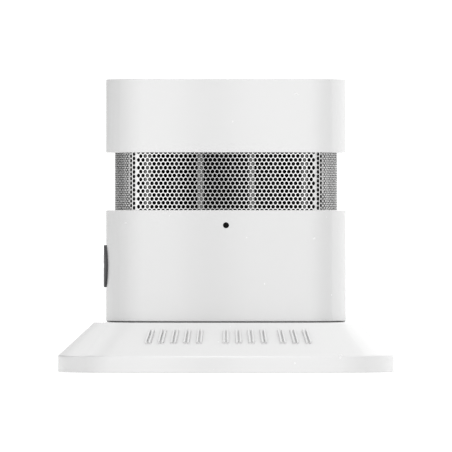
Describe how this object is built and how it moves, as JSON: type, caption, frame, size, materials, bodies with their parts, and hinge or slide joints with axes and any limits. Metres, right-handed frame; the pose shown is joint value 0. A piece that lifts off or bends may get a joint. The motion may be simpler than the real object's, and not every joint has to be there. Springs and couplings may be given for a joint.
{
  "type": "smoke detector",
  "caption": "Compact optical smoke detector: bowed square head with a perforated metal air band and side test button, on a wider sloped mounting base.",
  "frame": {"origin": "centre of the mounting face, at the bottom of the base", "axes": "+Z out of the ceiling or wall through the head, -Y the front with the indicator opening, -X the side with the test button"},
  "size_m": [0.0896, 0.0896, 0.078],
  "materials": {
    "base_plastic": "fine satin moulding",
    "housing_plastic": "fine satin moulding",
    "inner_grey_plastic": "plain moulding",
    "perforated_steel": "satin, etched with fine holes",
    "piezo_brass": "satin",
    "wire_insulation": "smooth sleeve",
    "chamber_black": "matt, light-absorbing",
    "lamp_epoxy": "clear epoxy with a blue tint",
    "diode_epoxy": "dark epoxy",
    "shield_steel": "blackened sheet",
    "board_laminate": "solder resist",
    "chip_black": "moulded epoxy",
    "copper_winding": "lacquered winding",
    "capacitor_sleeve": "shrink sleeve",
    "led_white": "translucent",
    "clear_pipe": "dark tinted clear acrylic",
    "plunger_plastic": "plain moulding",
    "button_graphite": "satin",
    "battery_sleeve": "printed sleeve left plain",
    "contact_nickel": "nickel-plated spring steel",
    "screw_steel": "zinc-plated"
  },
  "bodies": {
    "base": {"mounting_base": "base_plastic"},
    "head": {"rear_cover": "button_graphite", "lower_housing": "housing_plastic", "screen_cage": "inner_grey_plastic", "insect_screen": "perforated_steel", "top_cap": "housing_plastic", "sounder_cup": "inner_grey_plastic", "piezo_disc": "piezo_brass", "sounder_leads": "wire_insulation", "chamber_base": "chamber_black", "chamber_cover": "chamber_black", "ir_emitter": "lamp_epoxy", "photodiode": "diode_epoxy", "photodiode_shield": "shield_steel", "main_board": "board_laminate", "detector_chip": "chip_black", "driver_coil": "copper_winding", "buffer_capacitor": "capacitor_sleeve", "status_led": "led_white", "light_pipe": "clear_pipe", "test_switch": "chip_black", "battery": "battery_sleeve", "battery_contact_positive": "contact_nickel", "battery_contact_negative": "contact_nickel", "rear_screws": "screw_steel", "cap_screws": "screw_steel", "board_screws": "screw_steel"},
    "button": {"test_button": "button_graphite"},
    "plunger": {"switch_plunger": "plunger_plastic"}
  },
  "joints": [
    {"name": "head_twist", "type": "hinge", "parent": "base", "child": "head", "pos_m": [0, 0, 0.0132], "axis": [0, 0, 1], "range_deg": [0, 18]},
    {"name": "button_press", "type": "slide", "parent": "head", "child": "button", "axis": [1, 0, 0], "range_m": [0, 0.0005], "stiffness_N_per_m": 600, "springref_m": -0.001},
    {"name": "plunger_press", "type": "slide", "parent": "head", "child": "plunger", "axis": [1, 0, 0], "range_m": [0, 0.0005]}
  ],
  "couplings": [
    {"joint": "plunger_press", "follows": "button_press", "ratio": 1}
  ]
}
